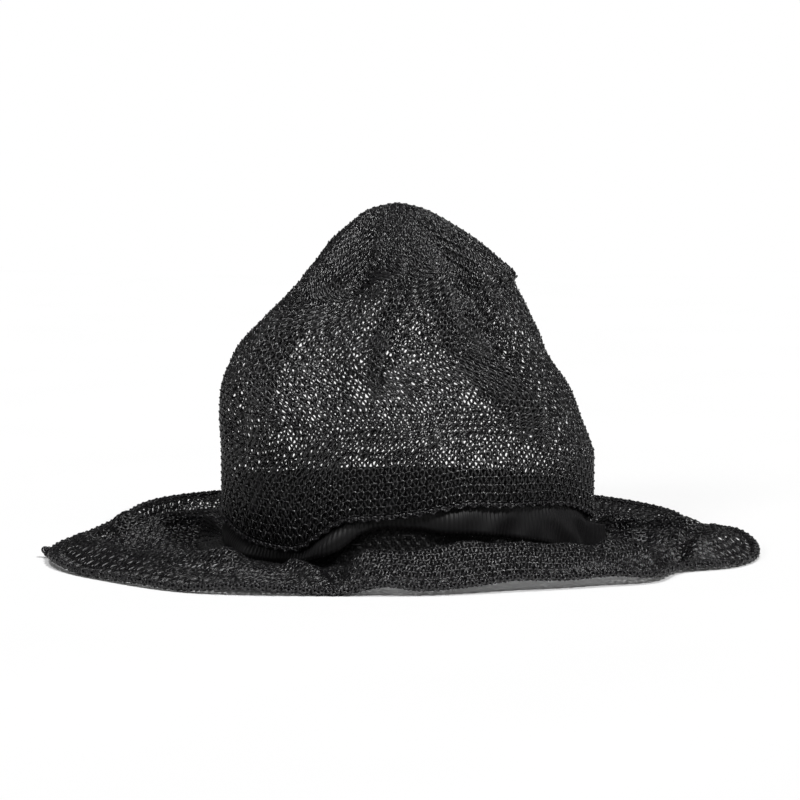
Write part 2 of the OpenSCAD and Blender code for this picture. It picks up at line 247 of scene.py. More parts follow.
def crown_point(angle, p):
    """Crown cloth: p runs from -1 at the hem over 0 at the top of the band to the last station."""
    share, lean, width = (station_value(column, p) for column in zip(*CROWN_FORM))
    share, width = np.clip(share, 0, 1), np.clip(width, 0, 1)
    stand, slide = crown_fold(angle, share, (HEAD_W / 2 + CROWN_MID) * width)
    foot = hem_low(angle) + HEM_D + SEAT_GAP
    above = BAND_Z + (CROWN_H - KNIT_T / 2 - BAND_Z) * share
    z = np.where(p < 0, BAND_Z + (BAND_Z - foot) * p, above)
    a = np.radians(angle)
    x = LEAN_D * lean + ((HEAD_W / 2 + CROWN_MID) * width + stand) * np.cos(a) - slide * np.sin(a)
    y = ((HEAD_D / 2 + CROWN_MID) * width + stand) * np.sin(a) + slide * np.cos(a)
    return np.stack(np.broadcast_arrays(x, y, z), -1)


print("band of the crown up to %.1f mm, hem from %.1f to %.1f mm" % (
    BAND_Z, min(z for _, z in HEM_LOW), max(z for _, z in HEM_LOW)))

# %% [markdown]
# ## The brim's cloth
# The brim starts as a short neck inside the ribbon, turns outward, lies flat on the table, climbs to a roll
# and falls to its edge. Stations along that way give its section at each angle. Creases and small waves
# are added to it like hills on a map, and only where the cloth is loose.

# %% Brim outline and roll
BRIM_W, ROLL_H, NECK_H, EDGE_D = 78.0, 21.0, 7.0, 3.4
# Angle, and how much wider the brim is there than on average
BRIM_MORE = [(0, 2), (12, -13), (27, -7), (46, -5), (90, -5), (129, -1), (145, 3), (163, -8), (178, -4),
             (192, 13), (205, 19), (220, 13), (236, 8), (256, -10), (275, -15), (290, -17), (304, -11),
             (314, -3), (325, -9), (335, 8), (347, 11)]
# Angle, and how high the middle of the edge round lies
EDGE_RISE = [(0, 6.5), (13, 4.5), (30, 6), (60, 7), (95, 5), (130, 9), (160, 6.5), (180, 4.8),
             (195, 3.5), (205, 4), (212, 2.5), (226, 3), (234, 2.5), (242, 4.5), (249, 3.5), (258, 2),
             (266, 6), (272, 4), (280, 5), (289, 7), (298, 6), (307, 6.5), (316, 4), (325, 3.5), (334, 3),
             (345, 2.5)]
# Angle, and the roll's share of its greatest height or its place as a share of the brim's width
ROLL_SHARE = [(0, 0.33), (25, 0.29), (60, 0.24), (100, 0.24), (140, 0.3), (149, 0.34), (162, 0.43),
              (175, 0.43), (187, 0.21), (199, 0.25), (211, 0.25), (222, 0.37), (231, 0.45), (240, 0.47),
              (250, 0.42), (257, 0.6), (264, 0.83), (272, 0.91), (284, 1), (298, 0.92), (313, 0.66),
              (322, 0.47), (338, 0.4), (350, 0.38)]
ROLL_PLACE = [(0, 0.69), (10, 0.56), (25, 0.49), (60, 0.44), (100, 0.46), (140, 0.59), (162, 0.62),
              (175, 0.72), (187, 0.87), (199, 0.77), (211, 0.69), (222, 0.64), (231, 0.6), (257, 0.59),
              (285, 0.56), (298, 0.56), (313, 0.59), (322, 0.64), (331, 0.67), (338, 0.73), (350, 0.77)]
# Waves of the falling cloth: waves round the ring, phase in degrees, height
FALL_WAVES = [(9, 40, 1.6), (14, 0, 0.8)]


def brim_reach(angle):
    return BRIM_W + round_value(BRIM_MORE, angle)


def edge_height(angle):
    return np.maximum(EDGE_D / 2, round_value(EDGE_RISE, angle))


def brim_wave(angle):
    a = np.radians(angle)
    return sum(height * np.sin(waves * a + math.radians(phase)) for waves, phase, height in FALL_WAVES)


reach = brim_reach(np.arange(360.0))
print("brim: %.0f to %.0f mm wide, roll up to %.0f mm high" % (reach.min(), reach.max(), ROLL_H))

# %% Brim creases
# Creases: height, width, and the line of angles and distances from the head ring, in millimetres
BRIM_CREASES = [(8, 9, ((194, 76), (203, 76), (214, 74), (226, 69), (236, 60))),
                (-6, 9, ((193, 52), (201, 46), (208, 38))),
                (12, 10, ((168, 13), (176, 24), (181, 36), (181, 52))),
                (-6, 9, ((176, 66), (166, 62), (156, 60), (142, 62))),
                (4, 6, ((248, 50), (252, 58), (255, 64))),
                (-8, 5, ((255, 40), (257, 55), (258, 64))),
                (5, 6, ((262, 53), (260.5, 58), (259.5, 63))),
                (5, 7, ((312, 52), (318, 56), (319, 68))),
                (-11, 6, ((322, 70), (326, 62), (333, 56))),
                (6, 8, ((336, 66), (344, 70), (352, 68))),
                (11, 8, ((16, 12), (7, 22), (0, 30), (-8, 50))),
                (-4, 5, ((4, 16), (-4, 32), (-11, 46))),
                (7, 6, ((-7, 16), (-9, 34), (-16, 49))),
                (5, 9, ((75, 50), (90, 54), (108, 50))), (-5, 9, ((65, 30), (90, 34), (112, 30)))]
# Small waves all over it: length and direction in degrees, phase, height
BRIM_RIPPLES = [(31, 20, 0, 0.5), (24, 75, 80, 0.4), (27, 130, 200, 0.45), (19, 160, 30, 0.3)]


def crease_bump(x, y, width, line):
    """1 on a line of angles and distances, falling to 0 away from it."""
    knots = [ring(a, off, 0.0)[:2] for a, off in line]
    nearest = np.full(x.shape, np.inf)
    for (x0, y0), (x1, y1) in zip(knots, knots[1:]):
        dx, dy = x1 - x0, y1 - y0
        t = np.clip(((x - x0) * dx + (y - y0) * dy) / (dx ** 2 + dy ** 2), 0, 1)
        nearest = np.minimum(nearest, (x - x0 - t * dx) ** 2 + (y - y0 - t * dy) ** 2)
    return np.exp(-nearest / width ** 2)


def brim_relief(spots):
    """Height that the creases and ripples add at points seen from above."""
    x, y = spots[..., 0], spots[..., 1]
    relief = sum(height * crease_bump(x, y, width, line) for height, width, line in BRIM_CREASES)
    for length, way, phase, height in BRIM_RIPPLES:
        w = math.radians(way)
        run = x * math.cos(w) + y * math.sin(w)
        relief = relief + height * np.sin(run * math.tau / length + math.radians(phase))
    return relief


print("brim: %d creases, %d sets of ripples" % (len(BRIM_CREASES), len(BRIM_RIPPLES)))

# %% Brim surface
# How far the ribbon has slipped up or down from its sewn line; the neck's top follows it up
RIBBON_SLIP = [(0, 0), (90, 0), (165, 0), (182, -3), (200, -7), (215, -8), (230, -6), (242, -2), (250, 2),
               (256, 8.5), (262, 10), (270, 7), (278, 1), (285, 0), (320, 0)]
# Where the brim lies flat on the table, off the head ring, and how it turns out of the neck
REST_Z, FLAT_FROM, FLAT_TO = KNIT_T / 2, 8.0, 14.0
NECK_TURN, NECK_LIFT = 1.5, 1.2
# The climb to the roll: its share of the way out, its share of the height, and a lift
CLIMB_OUT, CLIMB_UP, CLIMB_LIFT = 0.55, 0.58, 0.4
# The fall to the edge: share of the way out, shares of the roll's and the edge's height, side of the wave
FALL = [(0.4, 0.84, 0.16, 1), (0.7, 0.52, 0.48, 1), (0.9, 0.2, 0.8, -1)]
# Creases start this far off the head ring, grow over this distance, and end this far before the edge
LOOSE_FROM, LOOSE_GROW, LOOSE_END = 6, 12, 7


def brim_point(angle, p):
    """Brim cloth: p runs from 0 at the top of the neck to the last station at the edge round."""
    low, edge = ribbon_low(angle), edge_height(angle)
    roll = ROLL_H * round_value(ROLL_SHARE, angle)
    out = brim_reach(angle) - EDGE_D - SEAT_GAP
    top = BRIM_W * round_value(ROLL_PLACE, angle)
    run = out - top
    ripple = brim_wave(angle) * run / BRIM_W
    flat = np.zeros_like(low)
    slip = np.maximum(0, round_value(RIBBON_SLIP, angle))
    offs = [flat + NECK_MID, flat + NECK_MID, flat + NECK_MID + NECK_TURN, flat + FLAT_FROM, flat + FLAT_TO,
            FLAT_TO + CLIMB_OUT * (top - FLAT_TO), top]
    tall = [low + NECK_H + slip, low / 2 + NECK_LIFT, flat + NECK_TURN, flat + REST_Z, flat + REST_Z,
            CLIMB_UP * roll + CLIMB_LIFT, roll]
    offs += [top + share * run for share, _, _, _ in FALL] + [out]
    tall += [keep * roll + gain * edge + side * ripple for _, keep, gain, side in FALL] + [edge]
    off = station_rows(offs, p)
    loose = ease((off - LOOSE_FROM) / LOOSE_GROW) * ease((out - off) / LOOSE_END)
    tall = station_rows(tall, p) + loose * brim_relief(ring(angle, off, 0 * off))
    return ring(angle, off, np.maximum(tall, REST_Z))


# Seven stations up to the roll come first, then the fall, then the edge
BRIM_LAST = 7 + len(FALL)
print("brim: stations 0 to %d, flat from %.0f to %.0f mm off the ring" % (BRIM_LAST, FLAT_FROM, FLAT_TO))

# %% [markdown]
# ## A net with even stitches
# Knitting has stitches of one size, so each formula is measured and laid out again: first evenly along
# each line from the first course to the last, then evenly round each course. A mesh that is only unwrapped
# and textured would stretch its stitches over the folds.

# %% Stitch sizes
# Each cloth's stitch: its width and height in millimetres, how far its legs lean, how far its head rises
# into the next course, how deep it is, how far its head tips forward, and the yarn's width and thickness
CROWN_STITCH = {"wide": 3.4, "tall": 3.9, "lean": 0.26, "rise": 0.6, "depth": 0.6, "tilt": 0.3,
                "yarn": (1.15, 0.8)}
# The brim is worked tighter and pressed flat, so its yarn spreads
BRIM_STITCH = {"wide": 3.3, "tall": 3.6, "lean": 0.22, "rise": 0.53, "depth": 0.6, "tilt": 0.2,
               "yarn": (1.4, 0.65)}
# The neck that is sewn inside the ribbon is worked tighter still; it ends at this station of the brim
NECK_STITCH = {"wide": 2.4, "tall": 2.0, "lean": 0.23, "rise": 0.7, "depth": 0.35, "tilt": 0.0,
               "yarn": (1.7, 0.6)}
NECK_STOP = 4.1
# The narrow strips along the edges have low courses
EDGE_STITCH = {"wide": 3.4, "tall": 2.1, "lean": 0.26, "rise": 0.6, "depth": 0.7, "tilt": 0.0,
               "yarn": (1.1, 0.85)}
print("a crown stitch is %.1f by %.1f mm" % (CROWN_STITCH["wide"], CROWN_STITCH["tall"]))

# %% Measure a surface and lay it out evenly
# Places round a net, steps along the cloth while it is measured, and a length too small to matter
NET_COLUMNS, NET_FINE, TINY = 720, 260, 1e-12


def even_net(point, first, last, course_h):
    """Points and normals of a surface on an even net: courses upward, places round the ring across."""
    angle = np.arange(NET_COLUMNS) * 360.0 / NET_COLUMNS
    p = np.linspace(first, last, NET_FINE)[:, None] + np.zeros(NET_COLUMNS)
    spots = point(angle[None, :] + 0 * p, p)
    steps = np.linalg.norm(np.diff(spots, axis=0), axis=2)
    run = np.concatenate([np.zeros((1, NET_COLUMNS)), np.cumsum(steps, 0)])
    courses = max(1, int(round(run[-1].mean() / course_h)))
    share = np.linspace(0, 1, 2 * courses + 1)
    place = np.stack([np.interp(share * run[-1, k], run[:, k], p[:, k]) for k in range(NET_COLUMNS)], 1)
    spots = point(angle[None, :] + 0 * place, place)
    around = np.linalg.norm(np.roll(spots, -1, 1) - spots, axis=2)
    length = around.sum(1)
    even = np.arange(NET_COLUMNS) / NET_COLUMNS
    full_turn = np.append(angle, 360.0)
    rows = []
    for k in range(len(share)):
        walked = np.concatenate([[0], np.cumsum(around[k])]) / length[k]
        a = np.interp(even, walked, full_turn)
        rows.append(point(a, np.interp(a, full_turn, np.append(place[k], place[k, 0]))))
    net = np.stack(rows)
    along = np.roll(net, -1, 1) - np.roll(net, 1, 1)
    up = np.gradient(net, axis=0)
    normal = np.cross(along, up)
    normal /= np.linalg.norm(normal, axis=2, keepdims=True) + TINY
    return {"points": net, "normals": normal, "length": length, "courses": courses}


def read_net(net, row, column):
    """Value of a net between its points: at a part of a row and at a share of the way round."""
    rows, columns = net.shape[:2]
    r = np.clip(row, 0, rows - STOP_SHORT)
    i = np.floor(r).astype(int)
    s = (r - i)[:, None]
    c = np.mod(column, 1.0) * columns
    j = np.floor(c).astype(int) % columns
    t = (c - np.floor(c))[:, None]
    k = (j + 1) % columns
    below = net[i, j] * (1 - t) + net[i, k] * t
    above = net[i + 1, j] * (1 - t) + net[i + 1, k] * t
    return below * (1 - s) + above * s


crown_net = even_net(crown_point, -1, len(CROWN_FORM) - 1, CROWN_STITCH["tall"])
brim_net = even_net(brim_point, NECK_STOP, BRIM_LAST, BRIM_STITCH["tall"])
neck_net = even_net(brim_point, 0, NECK_STOP, NECK_STITCH["tall"])
for name, net in (("crown", crown_net), ("brim", brim_net), ("neck", neck_net)):
    print("%s: %d courses" % (name, net["courses"]))

# %% [markdown]
# ## Colours and nodes
# Colours are written as sRGB hex, as a paint chart gives them, and turned to linear once. One helper
# adds a shader node with its settings and links, so that each material reads as a short recipe.

# %% Colour and node helpers


def linear(hex_colour):
    parts = [int(hex_colour[i:i + 2], 16) / 255 for i in (1, 3, 5)]
    return [c / 12.92 if c <= 0.04045 else ((c + 0.055) / 1.055) ** 2.4 for c in parts] + [1.0]


def add_node(tree, kind, settings=None, values=None, links=None):
    node = tree.nodes.new(kind)
    for key, value in (settings or {}).items():
        setattr(node, key, value)
    for key, value in (values or {}).items():
        node.inputs[key].default_value = value
    for key, (source, output) in (links or {}).items():
        tree.links.new(source.outputs[output], node.inputs[key])
    return node


def new_material(name):
    material = bpy.data.materials.new(name)
    material.use_nodes = True
    tree = material.node_tree
    tree.nodes.clear()
    return material, tree


print("mid grey #808080 is %.3f in linear light" % linear("#808080")[0])

# %% [markdown]
# ## Black paper yarn
# The hat is knitted from a smooth twisted paper yarn, dyed black. Twisting a flat paper tape leaves a
# slightly glossy strand with a slanting groove, and the dye takes a little unevenly. The groove follows
# the yarn's own map, which counts turns along the strand, so it stays with the yarn when it bends. A plain
# image of knitting would show none of this at the edge of a hole.

# %% Yarn material
# One turn of the twist, the tape's edges round the strand, the depth of the groove they leave, the size of
# a cloud of dye, the values between which the cloud changes, and how far the roughness strays with it
TWIST_MM, TWIST_EDGES, GROOVE_MM = 2.4, 2.0, 0.12
CLOUD_MM, CLOUD_LOW, CLOUD_HIGH, ROUGH_STRAY = 9, 0.3, 0.7, 0.07


def paper_yarn(name, dark, light, roughness, gloss=1.5):
    """Twisted paper yarn: its two shades of dye, darkened as painted shade in some copies, its roughness, and
    its gloss as an index of refraction.
    """
    material, tree = new_material(name)
    where = add_node(tree, "ShaderNodeUVMap", {"uv_map": "yarn"})
    parts = add_node(tree, "ShaderNodeSeparateXYZ", links={"Vector": (where, "UV")})
    turn = add_node(tree, "ShaderNodeMath", {"operation": "MULTIPLY"}, {1: TWIST_EDGES}, {0: (parts, "Y")})
    slant = add_node(tree, "ShaderNodeMath", {"operation": "ADD"},
                     links={0: (parts, "X"), 1: (turn, "Value")})
    angle = add_node(tree, "ShaderNodeMath", {"operation": "MULTIPLY"}, {1: math.tau},
                     {0: (slant, "Value")})
    groove = add_node(tree, "ShaderNodeMath", {"operation": "SINE"}, links={0: (angle, "Value")})
    spot = add_node(tree, "ShaderNodeTexCoord")
    cloud = add_node(tree, "ShaderNodeTexNoise", values={"Scale": 1 / (CLOUD_MM * MM), "Detail": 3.0},
                     links={"Vector": (spot, "Object")})
    dye = add_node(tree, "ShaderNodeMix", {"data_type": "RGBA"}, {6: linear(dark), 7: linear(light)},
                   {0: (cloud, "Fac")})
    matt = add_node(tree, "ShaderNodeMapRange", values={
        "From Min": CLOUD_LOW, "From Max": CLOUD_HIGH, "To Min": roughness - ROUGH_STRAY,
        "To Max": roughness + ROUGH_STRAY}, links={"Value": (cloud, "Fac")})
    bump = add_node(tree, "ShaderNodeBump", values={"Strength": 0.5, "Distance": GROOVE_MM * MM},
                    links={"Height": (groove, "Value")})
    shade = add_node(tree, "ShaderNodeBsdfPrincipled", values={"IOR": gloss}, links={
        "Base Color": (dye, 2), "Roughness": (matt, "Result"), "Normal": (bump, "Normal")})
    add_node(tree, "ShaderNodeOutputMaterial", links={"Surface": (shade, "BSDF")})
    return material


# The crown's yarn is the glossiest, the neck's is rubbed dull inside the ribbon. The brim's and the
# neck's copies of the same yarn are dyed darker than the crown's as painted shade.
crown_yarn = paper_yarn("black_paper_yarn_crown", "#0b0a0c", "#181719", roughness=0.25, gloss=1.65)
# The brim's copy is dyed darker than the crown's: painted shade.
brim_yarn_painted_shade = paper_yarn("black_paper_yarn_brim_painted_shade", "#080709", "#131214", roughness=0.3)
# The neck's near-black dye is painted shade for the deep gap under the ribbon.
neck_yarn_painted_shade = paper_yarn("black_paper_yarn_neck_painted_shade", "#060607", "#0b0a0c", roughness=0.5)
edge_yarn = paper_yarn("black_paper_yarn_edge", "#141315", "#242325", roughness=0.28)
print("materials:", [m.name for m in bpy.data.materials if m.name.startswith("black")])

# %% [markdown]
# ## Strands into meshes
# A strand is a ring of points carried along a path. A curve with a bevel would do this too, but its map runs
# from 0 to 1 along each strand and doesn't count the turns of the twist. A mesh made from arrays can have
# any map, and thousands of loops are made in one go.

# %% Mesh helper


def make_piece(name, points, faces, material, nodes, maps):
    """A smooth mesh of four-sided faces with its maps, that stands for some of the solids."""
    data = bpy.data.meshes.new(name)
    data.vertices.add(len(points))
    data.vertices.foreach_set("co", points.astype(np.float32).ravel())
    data.loops.add(faces.size)
    data.loops.foreach_set("vertex_index", faces.astype(np.int32).ravel())
    data.polygons.add(len(faces))
    data.polygons.foreach_set("loop_start", np.arange(0, faces.size, 4, dtype=np.int32))
    data.polygons.foreach_set("use_smooth", np.ones(len(faces), bool))
    data.update(calc_edges=True)
    for key, uv in maps.items():
        layer = data.uv_layers.new(name=key)
        layer.data.foreach_set("uv", uv.astype(np.float32).ravel())
    data.materials.append(material)
    piece = bpy.data.objects.new(name, data)
    bpy.context.scene.collection.objects.link(piece)
    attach(piece, "root")
    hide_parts(*nodes)
    print(name, "has %d faces" % len(faces))
    return piece


# %% Strand helper
# Sides of a knitted strand, and of the few strands that are seen by themselves
YARN_SIDES, ROUND_SIDES = 5, 6
# Part of its row that a strand takes up in the OFBake map
ROW_EDGE, ROW_FILL = 0.05, 0.9


class Strands:
    """Collects closed or open strands and turns them into one mesh."""

    def __init__(self):
        self.points, self.faces, self.yarn_uv, self.lengths, self.count = [], [], [], [], 0

    def add(self, path, normal, width, thick, sides=YARN_SIDES, closed=True):
        """A strand along a path: its width lies in the cloth, its thickness along the cloth's normal."""
        n = len(path)
        if closed:
            ahead, behind = np.roll(path, -1, 0), np.roll(path, 1, 0)
        else:
            ahead = np.vstack([path[1:], 2 * path[-1] - path[-2]])
            behind = np.vstack([2 * path[0] - path[1], path[:-1]])
        along = ahead - behind
        along /= np.linalg.norm(along, axis=1, keepdims=True) + TINY
        side = np.cross(along, normal)
        side /= np.linalg.norm(side, axis=1, keepdims=True) + TINY
        front = np.cross(side, along)
        turn = np.arange(sides) * math.tau / sides
        round_front = thick / 2 * np.cos(turn)[:, None] * front[:, None]
        round_side = width / 2 * np.sin(turn)[:, None] * side[:, None]
        spots = path[:, None] + round_front + round_side
        steps = n if closed else n - 1
        i = np.repeat(np.arange(steps), sides)
        k = np.tile(np.arange(sides), steps)
        j, m = (i + 1) % n, (k + 1) % sides
        corners = np.stack([i * sides + k, j * sides + k, j * sides + m, i * sides + m], 1)
        run = np.concatenate([[0], np.cumsum(np.linalg.norm(ahead - path, axis=1))])
        u0, u1, v0, v1 = run[i], run[i + 1], k / sides, (k + 1) / sides
        self.yarn_uv.append(np.stack([u0, v0, u1, v0, u1, v1, u0, v1], 1).reshape(-1, 4, 2))
        self.faces.append(self.count + corners)
        self.points.append(spots.reshape(-1, 3))
        self.lengths.append(run[-1])
        self.count += n * sides

    def mesh(self, name, material, nodes):
        """One piece of all the strands: a row for each in the OFBake map, turns along it in the yarn map."""
        sheet = []
        for row, (uv, length) in enumerate(zip(self.yarn_uv, self.lengths)):
            low = (row + ROW_EDGE + ROW_FILL * uv[..., 1]) / len(self.lengths)
            sheet.append(np.stack([uv[..., 0] / length, low], -1))
        turns = np.concatenate(self.yarn_uv)
        twist = np.stack([turns[..., 0] / TWIST_MM, turns[..., 1]], -1)
        return make_piece(name, np.concatenate(self.points) * MM, np.concatenate(self.faces), material,
                          nodes, {"OFBake": np.concatenate(sheet), "yarn": twist})


print("a crown strand is %.2f by %.2f mm, with %d sides" % (*CROWN_STITCH["yarn"], YARN_SIDES))

# %% [markdown]
# ## The stitch
# The cloth is moss stitch: plain and purl loops take turns along a course and change places in the next, so
# the V of a plain loop always has a purl bar beside it and above it. Each course is one strand. Its loop
# stands on two legs that lean apart, the legs come forward in a plain loop and go back in a purl one, and
# each loop is pulled a little differently. One drawn tile could be repeated instead, but it would show.

# %% Knit a course
LOOP_STEPS = 12
# A course keeps the number of stitches below it while the ideal number stays between these shares of it
FEWEST, MOST = 0.84, 1.12
# How unevenly loops are pulled up and swayed sideways
PULL_STRAY, SWAY_STRAY = 0.08, 0.04
# The height shares where stitches start to be drawn together and over which they get there
DRAW_FROM, DRAW_GROW = 0.5, 0.35


def knit(net, stitch, seed, gather=0.0):
    """One course after another: its path of points, the cloth's normals there and its number of stitches."""
    rng = np.random.default_rng(seed)
    stitches = 0
    for course in range(net["courses"]):
        share = course / net["courses"]
        width = stitch["wide"] * (1 - gather * float(ease((share - DRAW_FROM) / DRAW_GROW)))
        ideal = net["length"][2 * course + 1] / width
        if not FEWEST * stitches <= ideal <= MOST * stitches:
            stitches = 2 * max(4, int(round(ideal / 2)))
        t = np.arange(stitches * LOOP_STEPS) * math.tau / LOOP_STEPS
        spot = np.repeat(np.arange(stitches), LOOP_STEPS)
        blend = np.mod(t / math.tau, 1)
        pulls = 1 + PULL_STRAY * rng.standard_normal(stitches)
        sways = SWAY_STRAY * rng.standard_normal(stitches)
        pull = pulls[spot] * (1 - blend) + pulls[(spot + 1) % stitches] * blend
        across = (t / math.tau + stitch["lean"] * np.sin(2 * t) + sways[spot] * np.sin(t)) / stitches
        row = 2 * course + 1 - 2 * stitch["rise"] * pull * np.cos(t)
        n = read_net(net["normals"], row, across)
        n /= np.linalg.norm(n, axis=1, keepdims=True)
        out = -stitch["depth"] * np.cos(2 * t) * np.cos((t - math.pi) / 2 + math.pi * course)
        out = out - stitch["tilt"] * np.cos(t)
        yield read_net(net["points"], row, across) + out[:, None] * n, n, stitches


print("each loop is drawn with %d points" % LOOP_STEPS)

# %% Knit the crown and the brim
# An STL of over 200,000 triangles would be thinned out, so a cloth is cut into bands between courses
FACE_LIMIT = 90000


def knit_pieces(name, net, stitch, material, node, seed, gather=0.0):
    """Knit a whole cloth as pieces that stay near the face limit, with each one's flat size and area."""
    courses = list(knit(net, stitch, seed, gather))
    faces = np.cumsum([len(path) * YARN_SIDES for path, _, _ in courses])
    count = int(math.ceil(faces[-1] / FACE_LIMIT))
    cuts = [int(np.searchsorted(faces, faces[-1] * k / count)) for k in range(1, count)]
    pieces = []
    for k, (low, high) in enumerate(zip([0] + cuts, cuts + [len(courses)])):
        strands = Strands()
        for path, n, _ in courses[low:high]:
            strands.add(path, n, *stitch["yarn"])
        piece = strands.mesh("%s_%d" % (name, k + 1), material, [node])
        around = [stitches * stitch["wide"] * MM for _, _, stitches in courses[low:high]]
        tall = stitch["tall"] * MM
        pieces.append((piece, (max(around), tall * (high - low)), sum(around) * tall))
    return pieces


crown_pieces = knit_pieces("crown_knit", crown_net, CROWN_STITCH, crown_yarn, "crown",
                           seed=11, gather=0.4)
brim_pieces = knit_pieces("brim_knit", brim_net, BRIM_STITCH, brim_yarn_painted_shade, "brim", seed=12)
neck_pieces = knit_pieces("brim_neck_knit", neck_net, NECK_STITCH, neck_yarn_painted_shade, "brim", seed=13)

# %% [markdown]
# ## Edge rounds
# The crown's lower edge curls a little under, and the brim's edge rolls into a thin tube, as knitted cloth
# does where it is cast off. A plain cord would be quicker, but each is cloth: a narrow strip of the same
# knit laid round a circle that follows the edge line.

# %% Edge rounds
# Where each strip starts and stops round the roll's section, in degrees, 0 pointing outward
HEM_TURN, EDGE_TURN = (60, -170), (150, -200)


def rolled_edge(middle_off, middle_z, diameter, first, last):
    """Surface of a small roll of cloth; places run round the roll's section."""
    def point(angle, p):
        turn = np.radians(first + (last - first) * p)
        off = middle_off(angle) + diameter / 2 * np.cos(turn)
        return ring(angle, off, middle_z(angle) + diameter / 2 * np.sin(turn))
    return point


hem_roll = rolled_edge(lambda a: CROWN_IN + HEM_D / 2 + 0 * a, lambda a: hem_low(a) + HEM_D / 2,
                       HEM_D - EDGE_STITCH["yarn"][1], *HEM_TURN)
edge_roll = rolled_edge(lambda a: brim_reach(a) - EDGE_D / 2, edge_height,
                        EDGE_D - EDGE_STITCH["yarn"][1], *EDGE_TURN)
hem_net, edge_net = (even_net(roll, 0, 1, EDGE_STITCH["tall"]) for roll in (hem_roll, edge_roll))
crown_hem = knit_pieces("crown_hem_knit", hem_net, EDGE_STITCH, edge_yarn, "crown_hem", seed=14)
brim_edge = knit_pieces("brim_edge_knit", edge_net, EDGE_STITCH, edge_yarn, "brim_edge", seed=15)

# %% [markdown]
# ## Tip and knot
# The peak is closed by drawing the last loops together, which leaves a small flat coil of yarn. The edge
# round ends at the left in a small overhand knot. Its path is a trefoil, the simplest closed knot, so the
# strand really goes through its own loop; a bead of the same size would not catch the light like yarn.

# %% Crown tip and edge knot
# Turns of the coil, points along it, and how far it lies under the peak
TIP_TURNS, TIP_STEPS, TIP_UNDER = 2.6, 90, 1.0
# Radius at the start of the coil, and what each turn adds to the radius and takes off the height
TIP_START, TIP_GROW, TIP_DROP = 0.5, 0.64, 0.05
t = np.linspace(0, TIP_TURNS * math.tau, TIP_STEPS)
radius = TIP_START + TIP_GROW * t / math.tau
tip_middle = np.array([LEAN_D * CROWN_FORM[-1][1], 0, CROWN_H - TIP_UNDER])
coil = tip_middle + np.stack([radius * np.cos(t), radius * np.sin(t), -TIP_DROP * t / math.tau], 1)
tip = Strands()
tip.add(coil, np.tile([0, 0, 1.0], (len(t), 1)), *CROWN_STITCH["yarn"], ROUND_SIDES, closed=False)
tip.mesh("crown_tip_coil", crown_yarn, ["crown_tip"])

# The knot's angle, its size, points along it, and the width and thickness of its yarn
KNOT_AT, KNOT_D, KNOT_STEPS, KNOT_YARN = np.array(194.0), 5.0, 120, (2.0, 1.8)
# How far the knot is pulled onto the edge, how much tighter it is than its solid, and a trefoil's width
KNOT_IN, KNOT_TIGHT, TREFOIL_W = 1.2, 0.6, 6
knot_off = brim_reach(KNOT_AT) + KNOT_D / 2 - KNOT_IN
t = np.arange(KNOT_STEPS) * math.tau / KNOT_STEPS
trefoil = np.stack([np.sin(t) + 2 * np.sin(2 * t), np.sin(3 * t), np.cos(t) - 2 * np.cos(2 * t)], 1)
knot_path = ring(KNOT_AT, knot_off, edge_height(KNOT_AT)) + trefoil * (KNOT_D - KNOT_TIGHT) / TREFOIL_W
knot = Strands()
knot.add(knot_path, trefoil / np.linalg.norm(trefoil, axis=1, keepdims=True), *KNOT_YARN, ROUND_SIDES)
knot.mesh("edge_knot_yarn", edge_yarn, ["edge_knot"])

# %% [markdown]
# ## What each cloth is
# A knitted cloth is a sheet: laid flat it has a width and a length, and here it is draped over the ribbon or
# laid on the table. This is printed for each mesh, because a mesh of strands doesn't show it. The
# flat sizes are counted from stitches and courses, as a knitter would, and not measured on the folds.

# %% Say what each cloth is
trims = {crown_pieces[0][0]: crown_hem, brim_pieces[0][0]: neck_pieces, brim_pieces[-1][0]: brim_edge}
for pieces, held, support in ((crown_pieces, "draped", "ribbon"), (brim_pieces, "laid", "floor")):
    for piece, flat, area in pieces:
        min(area, flat[0] * flat[1])
        [trim[0] for trim in trims.get(piece, [])]
        print(piece.name, "is %s, %.0f by %.0f mm flat" % (held, flat[0] / MM, flat[1] / MM))

# %% [markdown]
# ## Grosgrain ribbon
# Grosgrain is a plain weave with a thick weft, so it has ribs across the strip and a slight satin sheen.
# The strip runs once round the head and laps over its own start, and its cut end stands off at the right
# front. Bump alone could draw the ribs, but here they are real waves in the mesh, so they show at the edge.
# A real ribbon's ribs are about 1 mm apart: they are drawn coarser here, so that they show in the render.

# %% Ribbon material
# The size of a cloud of dye, of a woven thread and of its fuzz; a real thread is finer, and this one is
# drawn about a pixel wide so that it shows
RIBBON_CLOUD_MM, WEAVE_MM, FUZZ_MM = 14, 0.5, 0.05


def grosgrain():
    """Woven black polyester: ribs come from the mesh, fine threads from bump, dye a little uneven."""
    material, tree = new_material("black_grosgrain_ribbon")
    spot = add_node(tree, "ShaderNodeTexCoord")
    cloud, thread = (add_node(tree, "ShaderNodeTexNoise", values={"Scale": 1 / (size * MM), "Detail": 2.0},
                              links={"Vector": (spot, "Object")}) for size in (RIBBON_CLOUD_MM, WEAVE_MM))
    dye = add_node(tree, "ShaderNodeMix", {"data_type": "RGBA"}, {6: linear("#070608"), 7: linear("#0e0d0f")},
                   {0: (cloud, "Fac")})
    bump = add_node(tree, "ShaderNodeBump", values={"Strength": 0.3, "Distance": FUZZ_MM * MM},
                    links={"Height": (thread, "Fac")})
    shade = add_node(tree, "ShaderNodeBsdfPrincipled",
                     values={"Roughness": 0.5, "IOR": 1.46, "Sheen Weight": 0.04},
                     links={"Base Color": (dye, 2), "Normal": (bump, "Normal")})
    add_node(tree, "ShaderNodeOutputMaterial", links={"Surface": (shade, "BSDF")})
    return material


